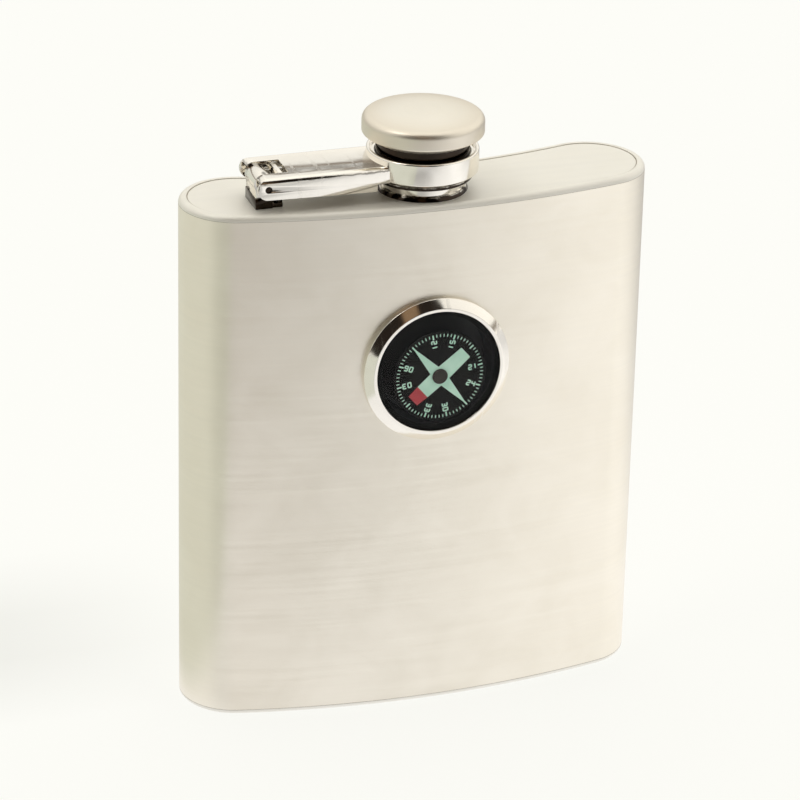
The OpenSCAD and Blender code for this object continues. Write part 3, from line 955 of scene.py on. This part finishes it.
brushed_steel(
    "brushed_sheet", along_sheet, (0.93, 0.875, 0.765), (45.0, 5200.0), 0.36, sheet_tangent,
    Metallic=1.0, Anisotropic=0.75, Anisotropic_Rotation=0.25,
)
brushed_steel(
    "satin_plate", flat_lines, (0.90, 0.875, 0.80), (70.0, 3200.0), 0.47, None, in_seam_shade, Metallic=0.35,
)
# the cap's side and shoulder get painted shade through the dim mask
brushed_steel(
    "satin_cap", turned_lines, (0.86, 0.82, 0.73), (120.0, 4600.0), 0.40, None, shaded_side, Metallic=1.0,
)

# %% [markdown]
# ### Polished steel
# The fittings are buffed to a mirror, with hairlines and faint grease on them, and some carry bands of
# painted shade. The lens, the plastics and the paints follow.

# %% Polished steel
SHADE_EDGE = 0.3


def polished(name, shade_bands=()):
    """Mirror steel. Between each pair of heights in the list, it is painted dark brown: painted shade."""
    tree, shader, own = new_material(name, Metallic=1.0)
    hands = use_group(tree, handled, Vector=own, Size=260.0)
    greasy = spread(tree, hands["Smudge"], 0.0, 1.0, 0.0, 0.5)
    tone = mixed(tree, greasy, (0.90, 0.86, 0.79, 1), (0.84, 0.80, 0.72, 1))
    if shade_bands:
        height = add(tree, "ShaderNodeSeparateXYZ", {0: own}).outputs[2]
        ragged = calc(tree, "MULTIPLY_ADD", hands["Smudge"], 0.6 * MM, height)
        # each band is painted shade, dark brown with ragged ends
        for bottom, top in shade_bands:
            above = spread(tree, ragged, bottom * MM, (bottom + SHADE_EDGE) * MM, 0.0, 1.0)
            below = spread(tree, ragged, (top - SHADE_EDGE) * MM, top * MM, 1.0, 0.0)
            tone = mixed(tree, calc(tree, "MULTIPLY", above, below), tone, (0.035, 0.026, 0.020, 1))
    tree.links.new(tone, shader.inputs["Base Color"])
    gloss = spread(tree, hands["Smudge"], 0.0, 1.0, 0.07, 0.17)
    scratched = calc(tree, "MULTIPLY_ADD", hands["Hairline"], 0.14, gloss)
    tree.links.new(scratched, shader.inputs["Roughness"])
    bumped(tree, shader, hands["Smudge"], 0.004)


ARM_TOP = high("arm")[2]
SHADE_BANDS = {
    "polished_steel": [],
    # painted shade on the cap sleeve's foot, the hinge block's lower part, and the sleeve in the gap under
    # the cap head
    "shaded_steel": [(BODY_H - 2, BODY_H + 2.6), (COLLAR_TOP - 1.2, CAP_LOW + 0.6)],
    # a painted shade line along the arm's top fold
    "fold_shade_steel": [(ARM_TOP - 0.55, ARM_TOP - 0.1)],
    # painted shade over the lip ring, which lies under the collar
    "shaded_ring": [(BODY_H - 2, BODY_H + 3.7)],
    # painted shade at the foot of the neck, where it meets the plate
    "shaded_foot": [(BODY_H - 2, BODY_H + 1.1)],
    # painted shade over the whole pin, in place of the shadow in the ears' bores
    "shaded_pin": [(PIN_Z - 2, PIN_Z + 2)],
}
for name, heights in SHADE_BANDS.items():
    polished(name, heights)


# %% Plastics, rubber, paint, brass
def grainy(name, dark, light, rough, size, depth, **plain):
    """A finish with a fine grain: slow patches turn the tone from dark to light, and the grain the gloss."""
    tree, shader, own = new_material(name, **plain)
    grain = use_group(tree, grained, Vector=own, Size=size)
    hands = use_group(tree, handled, Vector=own, Size=size * 0.1)
    share = spread(tree, grain["Patch"], 0.35, 0.65, 0.0, 1.0)
    tree.links.new(mixed(tree, share, (*dark, 1), (*light, 1)), shader.inputs["Base Color"])
    gloss = spread(tree, grain["Height"], 0.3, 0.7, rough - 0.06, rough + 0.06)
    tree.links.new(calc(tree, "MULTIPLY_ADD", hands["Smudge"], 0.05, gloss), shader.inputs["Roughness"])
    bumped(tree, shader, grain["Height"], depth)


GRAINY = {
    "black_plastic": ((0.008, 0.008, 0.009), (0.016, 0.016, 0.017), 0.35, 1800.0, 0.003,
                      {"Specular_IOR_Level": 0.2}),
    "black_seal": ((0.006, 0.006, 0.006), (0.012, 0.012, 0.012), 0.6, 3000.0, 0.01, {}),
    "card_black": ((0.004, 0.004, 0.004), (0.009, 0.008, 0.007), 0.8, 4000.0, 0.002,
                   {"Specular_IOR_Level": 0.12}),
    "glow_paint": ((0.50, 0.80, 0.64), (0.62, 0.90, 0.74), 0.6, 3500.0, 0.008, {}),
    "red_paint": ((0.45, 0.03, 0.04), (0.60, 0.06, 0.07), 0.5, 3500.0, 0.006, {}),
    "hub_dark": ((0.020, 0.016, 0.012), (0.040, 0.032, 0.024), 0.35, 2500.0, 0.003, {"Metallic": 0.6}),
    "pivot_brass": ((0.62, 0.45, 0.20), (0.72, 0.55, 0.28), 0.25, 2500.0, 0.003, {"Metallic": 1.0}),
    "magnet_dark": ((0.09, 0.09, 0.10), (0.14, 0.14, 0.15), 0.5, 2500.0, 0.008, {"Metallic": 0.8}),
    "foam_pad": ((0.05, 0.05, 0.05), (0.09, 0.09, 0.09), 0.9, 1500.0, 0.06, {}),
    "liner_white": ((0.72, 0.71, 0.66), (0.80, 0.79, 0.75), 0.6, 1800.0, 0.01, {}),
}
for name, (*look, plain) in GRAINY.items():
    grainy(name, *look, **plain)

# %% Clear lens
tree, shader, own = new_material(
    "clear_lens", Transmission_Weight=1.0, IOR=1.16, Specular_IOR_Level=0.1,
)
shader.inputs["Base Color"].default_value = (0.98, 0.99, 0.985, 1)
hands = use_group(tree, handled, Vector=own, Size=180.0)
tree.links.new(spread(tree, hands["Smudge"], 0.2, 1.0, 0.01, 0.05), shader.inputs["Roughness"])
bumped(tree, shader, hands["Hairline"], 0.0006)
light_path = add(tree, "ShaderNodeLightPath").outputs
indirect = calc(tree, "MAXIMUM", light_path["Is Shadow Ray"], light_path["Is Diffuse Ray"])
clear = add(tree, "ShaderNodeBsdfTransparent")
through = add(tree, "ShaderNodeMixShader", {0: indirect, 1: shader.outputs[0], 2: clear.outputs[0]})
tree.links.new(through.outputs[0], tree.nodes["Material Output"].inputs["Surface"])
print(len(MATERIALS), "finishes")

# %% [markdown]
# ## Giving out the finishes
# New pieces take the finish that the table lists for them. CAD nodes whose shape is right, such as the card,
# stay as they are and get a finish on their material slots.

# %% Assign the finishes
CAD_FINISH = {
    "card_disc": "card_black",
    "card_star": "glow_paint",
    "card_north_tip": "red_paint",
    "card_hub": "hub_dark",
    "card_cup": "pivot_brass",
    "card_magnet": "magnet_dark",
    "pivot_pin": "pivot_brass",
    "capsule_pad": "foam_pad",
    "compass_cup": "polished_steel",
}
for node, finish in CAD_FINISH.items():
    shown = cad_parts[node]
    for spot in shown.material_slots:
        spot.material = MATERIALS[finish]
NEW_FINISH = {
    "brushed_sheet": ["sleeve_sheet"],
    "satin_plate": ["top_cover", "base_cover"],
    "satin_cap": ["cap_dome"],
    "liner_white": ["soft_liner"],
    "black_plastic": ["compass_case"],
    "black_seal": ["lens_seal"],
    "clear_lens": ["lens_dome"],
    "glow_paint": ["card_ticks", "card_numerals"],
    "polished_steel": ["neck_ridge", "cap_ridge", "neck_tube", "collar_ring", "bezel_ring"],
    # the next five finishes are polished steel with bands of painted shade
    "fold_shade_steel": ["folded_arm"],
    "shaded_steel": ["threaded_sleeve", "hinge_block"],
    "shaded_ring": ["lip_ring"],
    "shaded_foot": ["neck_fillet"],
    "shaded_pin": ["domed_pin"],
}
for finish, names in NEW_FINISH.items():
    for name in names:
        bpy.data.objects[name].data.materials.clear()
        bpy.data.objects[name].data.materials.append(MATERIALS[finish])

# %% [markdown]
# ## Studio
# Polished metal shows its surroundings, so the studio is part of its look. A pale floor and a pale sky of
# soft light stand round the flask, with one dark screen up to the left and a dim band at the horizon,
# which draw the dark lines along the edges. Only reflections see the screens; the eye sees plain off-white.

# %% Sky
OFF_WHITE = (1.0, 1.0, 0.955, 1)
world = bpy.data.worlds.new("studio")
bpy.context.scene.world = world
world.use_nodes = True
tree = world.node_tree
tree.nodes.clear()
way = add(tree, "ShaderNodeTexCoord").outputs["Generated"]


def patch_of_sky(tree, way, toward, inner, outer):
    """1 within the inner angle of a direction, 0 beyond the outer one, in degrees."""
    toward = np.array(toward, float) / np.linalg.norm(toward)
    widest, closest = math.cos(math.radians(outer)), math.cos(math.radians(inner))
    return spread(tree, along(tree, way, tuple(toward)), widest, closest, 0.0, 1.0)


def between(tree, value, start, end, soft):
    """1 where the value lies between start and end, with soft ends."""
    rise = spread(tree, value, start - soft, start + soft, 0.0, 1.0)
    return calc(tree, "MULTIPLY", rise, spread(tree, value, end - soft, end + soft, 1.0, 0.0))


colour = (0.80, 0.79, 0.75, 1)
SOFT_BOXES = [
    ((0.1, 0.3, 1.0), 15, 75, (1.20, 1.18, 1.12, 1)),
    ((1.0, 0.1, 0.3), 15, 60, (1.20, 1.18, 1.12, 1)),
    ((-0.55, -0.05, 0.83), 6, 14, (4.0, 3.9, 3.7, 1)),
]
for toward, inner, outer, shade in SOFT_BOXES:
    colour = mixed(tree, patch_of_sky(tree, way, toward, inner, outer), colour, shade)
x_way, _, z_way = add(tree, "ShaderNodeSeparateXYZ", {0: way}).outputs
colour = mixed(tree, between(tree, z_way, 0.03, 0.12, 0.03), colour, (0.24, 0.20, 0.16, 1))
screen = patch_of_sky(tree, way, (-0.30, -0.82, 0.48), 41, 43)
colour = mixed(tree, screen, colour, (0.020, 0.015, 0.012, 1))
brown = calc(tree, "MULTIPLY", screen, between(tree, x_way, -0.34, -0.08, 0.03))
colour = mixed(tree, brown, colour, (0.26, 0.17, 0.10, 1))
light_path = add(tree, "ShaderNodeLightPath").outputs
seen = mixed(tree, light_path["Is Camera Ray"], colour, OFF_WHITE)
background = add(tree, "ShaderNodeBackground", {"Color": seen, "Strength": 1.0})
output = add(tree, "ShaderNodeOutputWorld")
tree.links.new(background.outputs[0], output.inputs["Surface"])

# %% [markdown]
# ### Floor
# The floor is one wide disc. The steel mirrors it, so for every ray but the eye's it glows: brighter to
# the right of the front, dimmer far off and behind, evenly dull where the round left end looks, and dark
# in one corner. The eye sees it off-white, with a faint painted shadow of the flask to the left.

# %% Floor
FLOOR_R = 3.0
GLOW = 0.86
angle = np.linspace(0, 2 * np.pi, 64, endpoint=False)
floor_mesh = bpy.data.meshes.new("floor")
rim = np.stack([FLOOR_R * np.cos(angle), FLOOR_R * np.sin(angle), 0 * angle - 0.0002], axis=-1)
floor_mesh.from_pydata(rim.tolist(), [], [tuple(range(64))])
floor = placed("floor", floor_mesh)
tree, shader, own = new_material("pale_floor", Roughness=0.9)
shader.inputs["Base Color"].default_value = (0.93, 0.93, 0.90, 1)
x_place, y_place, _ = add(tree, "ShaderNodeSeparateXYZ", {0: own}).outputs
slope = along(tree, own, (1.5, 1.3, 0.0))
far = spread(tree, slope, -0.55, -0.25, 0.64, 0.92)
near = spread(tree, slope, -0.25, 0.12, 0.0, 0.22)
behind = spread(tree, y_place, -0.02, 0.25, 1.0, 0.6)
aside = spread(tree, slope, 0.2, 0.6, 1.0, 0.72)
light = calc(tree, "MULTIPLY", calc(tree, "ADD", far, near), calc(tree, "MULTIPLY", behind, aside))
grey = add(tree, "ShaderNodeCombineColor", {0: light, 1: light, 2: light}).outputs[0]
left = spread(tree, along(tree, own, (1.0, -0.388, 0.0)), -0.064, -0.054, 1.0, 0.0)
mirrored = mixed(tree, left, grey, (0.72, 0.74, 0.66, 1))
corner = add(tree, "ShaderNodeVectorMath", {0: own, 1: (-0.10, -0.27, 0.0)}, operation="DISTANCE")
in_corner = spread(tree, corner.outputs["Value"], 0.05, 0.14, 0.30, 0.0)
mirrored = mixed(tree, in_corner, mirrored, (0.10, 0.09, 0.07, 1))
# a painted shadow of the flask on the floor to its left, for the eye only
band, reach = between(tree, y_place, 0.016, 0.062, 0.014), between(tree, x_place, -0.17, -0.065, 0.035)
painted_shadow = calc(tree, "MULTIPLY", band, reach)
seen = mixed(tree, painted_shadow, OFF_WHITE, (0.83, 0.83, 0.78, 1))
by_eye = add(tree, "ShaderNodeLightPath").outputs["Is Camera Ray"]
glow = add(tree, "ShaderNodeEmission", {"Color": mixed(tree, by_eye, mirrored, seen)})
share = spread(tree, by_eye, 0.0, 1.0, 1.0, GLOW)
blend = add(tree, "ShaderNodeMixShader", {0: share, 1: shader.outputs[0], 2: glow.outputs[0]})
tree.links.new(blend.outputs[0], tree.nodes["Material Output"].inputs["Surface"])
floor_mesh.materials.append(MATERIALS["pale_floor"])

# %% [markdown]
# ## Camera
# A long lens from the front left and a little above, so that the flask keeps its upright shape.

# %% Camera
TURN, TILT, ROLL = (math.radians(v) for v in (-18.855, 24.551, 1.306))
AWAY = 802.93
AIM = np.array([-3.462, 0.0, 62.532])
back = np.array([math.sin(TURN) * math.cos(TILT), -math.cos(TURN) * math.cos(TILT), math.sin(TILT)])
right = np.array([math.cos(TURN), math.sin(TURN), 0.0])
up = np.cross(back, right)
right, up = math.cos(ROLL) * right + math.sin(ROLL) * up, math.cos(ROLL) * up - math.sin(ROLL) * right
camera = placed("camera", bpy.data.cameras.new("camera"))
camera.data.sensor_width = 36.0
camera.data.lens = 181.7
camera.data.clip_start = 0.01
camera.data.clip_end = 20.0
columns = np.column_stack([right, up, back, (AIM + AWAY * back) * MM])
camera.matrix_world = Matrix([*columns.tolist(), (0, 0, 0, 1)])
bpy.context.scene.camera = camera
bpy.context.scene.view_settings.view_transform = "Standard"
